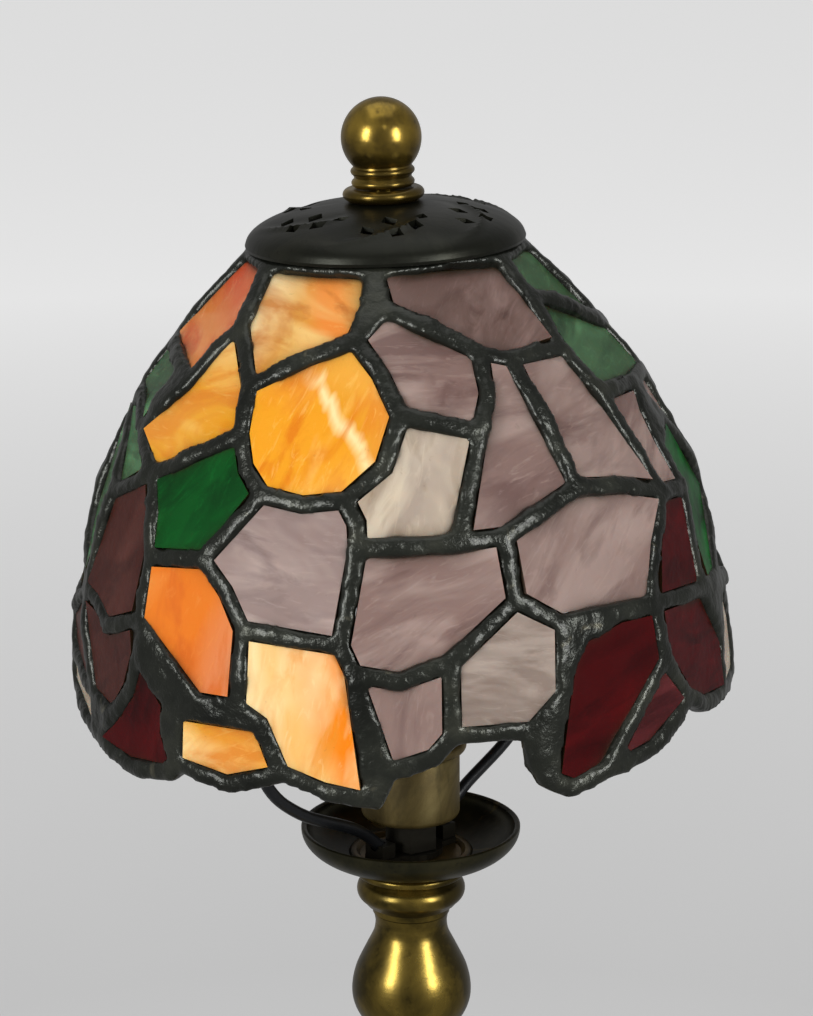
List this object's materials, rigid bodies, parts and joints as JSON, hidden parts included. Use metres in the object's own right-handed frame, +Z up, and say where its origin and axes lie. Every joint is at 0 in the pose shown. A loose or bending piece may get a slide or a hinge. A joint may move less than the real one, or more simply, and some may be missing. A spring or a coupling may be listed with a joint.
{
  "type": "leaded glass table lamp",
  "caption": "Small accent lamp: irregular dome shade of leaded coloured glass with a scalloped rim, pierced cap and ball finial, on a harp over a turned brass stem and round foot.",
  "frame": {"origin": "centre of the felt pad's underside, on the stem's axis", "axes": "+Z up along the stem, -Y is the front of the shade, +X to its right"},
  "size_m": [0.16, 0.1608, 0.3351],
  "materials": {
    "foot_brass": "darkened brass, satin",
    "stem_brass": "dark brass, satin, worn bright on the edges",
    "finial_brass": "dark brass, glossy",
    "socket_brass": "dull yellow-green patina",
    "shell_brass": "plain brass sheet",
    "dish_bronze": "dark bronze patina",
    "cap_bronze": "dark bronze patina, rubbed bright on the lip",
    "lead": "black-patinated solder, glossy and lumpy",
    "black_wire": "black, semi-gloss",
    "steel": "plain steel, dull",
    "iron": "rough casting",
    "felt": "pressed felt",
    "phenolic": "dark moulded phenolic",
    "fibre": "fibre tube",
    "bulb_metal": "nickelled brass",
    "clear_glass": "clear blown glass",
    "glass_amber": "streaky opalescent sheet glass",
    "glass_coral": "streaky opalescent sheet glass",
    "glass_honey": "streaky opalescent sheet glass",
    "glass_lilac": "streaky opalescent sheet glass",
    "glass_cream": "streaky opalescent sheet glass",
    "glass_green": "streaky opalescent sheet glass",
    "glass_sage": "streaky opalescent sheet glass",
    "glass_ruby": "streaky opalescent sheet glass",
    "glass_maroon": "streaky opalescent sheet glass",
    "glass_rose": "streaky opalescent sheet glass",
    "glass_mixed": "streaky opalescent sheet glass"
  },
  "bodies": {
    "stand": {"harp_wire": "black_wire", "harp_crown": "stem_brass", "foot": "foot_brass", "cord_bushing": "phenolic", "foot_weight": "iron", "foot_nut": "steel", "felt_pad": "felt", "stem_collar": "stem_brass", "stem_vase": "stem_brass", "stem_lower": "stem_brass", "threaded_tube": "steel", "dish": "dish_bronze", "socket_nut": "steel", "socket_cap": "socket_brass", "socket_shell": "socket_brass", "socket_liner": "fibre", "socket_base": "phenolic", "socket_screw_shell": "shell_brass", "socket_contact": "shell_brass", "harp_saddle": "steel"},
    "shade_ring": {"shade_top_ring": "stem_brass"},
    "shade": {"shade_cap": "cap_bronze", "panes_back_right": "glass_mixed", "panes_back_left": "glass_mixed", "pane_coral_crown": "glass_coral", "pane_honey_crown": "glass_honey", "pane_lilac_crown": "glass_lilac", "pane_sage_crown": "glass_sage", "pane_green_leaf_upper": "glass_sage", "pane_amber_left": "glass_amber", "pane_lilac_upper": "glass_lilac", "pane_amber_disc": "glass_amber", "pane_cream_centre": "glass_cream", "pane_lilac_blade": "glass_lilac", "pane_lilac_right_upper": "glass_lilac", "pane_lilac_narrow": "glass_lilac", "pane_sage_band": "glass_sage", "pane_green_leaf_left": "glass_green", "pane_maroon_upper": "glass_maroon", "pane_lilac_left": "glass_lilac", "pane_maroon_lower": "glass_maroon", "pane_ruby_left": "glass_ruby", "pane_amber_lower_left": "glass_amber", "pane_amber_rim": "glass_amber", "pane_honey_long": "glass_honey", "pane_lilac_centre": "glass_lilac", "pane_lilac_rim": "glass_lilac", "pane_cream_rim": "glass_cream", "pane_lilac_right_lower": "glass_lilac", "pane_ruby_petal": "glass_ruby", "pane_rose_rim": "glass_rose", "pane_ruby_small": "glass_ruby", "pane_ruby_round": "glass_ruby", "shade_leading": "lead"},
    "finial_seat": {"finial_seat_ring": "finial_brass"},
    "finial": {"finial": "finial_brass"},
    "bulb_tip": {"bulb_contact": "bulb_metal"},
    "bulb": {"bulb_glass": "clear_glass", "bulb_cap": "bulb_metal", "bulb_mount": "clear_glass"}
  },
  "joints": [
    {"name": "shade_lift", "type": "slide", "parent": "stand", "child": "shade_ring", "axis": [-0.0349, 0, 0.9994], "range_m": [0, 0.15]},
    {"name": "shade_turn", "type": "hinge", "parent": "shade_ring", "child": "shade", "pos_m": [0, 0, 0.15], "axis": [-0.0349, 0, 0.9994], "continuous": true},
    {"name": "finial_rise", "type": "slide", "parent": "shade_ring", "child": "finial_seat", "axis": [-0.0349, 0, 0.9994], "range_m": [0, 0.008]},
    {"name": "finial_turn", "type": "hinge", "parent": "finial_seat", "child": "finial", "pos_m": [0, 0, 0.15], "axis": [-0.0349, 0, 0.9994], "range_deg": [0, 3070]},
    {"name": "bulb_rise", "type": "slide", "parent": "stand", "child": "bulb_tip", "axis": [0, 0, 1], "range_m": [0, 0.0089]},
    {"name": "bulb_turn", "type": "hinge", "parent": "bulb_tip", "child": "bulb", "pos_m": [0, 0, 0.18], "axis": [0, 0, 1], "range_deg": [0, 1270]}
  ],
  "couplings": [
    {"joint": "finial_turn", "follows": "finial_rise", "rad_per_m": 6679.2},
    {"joint": "bulb_turn", "follows": "bulb_rise", "rad_per_m": 2473.7}
  ]
}
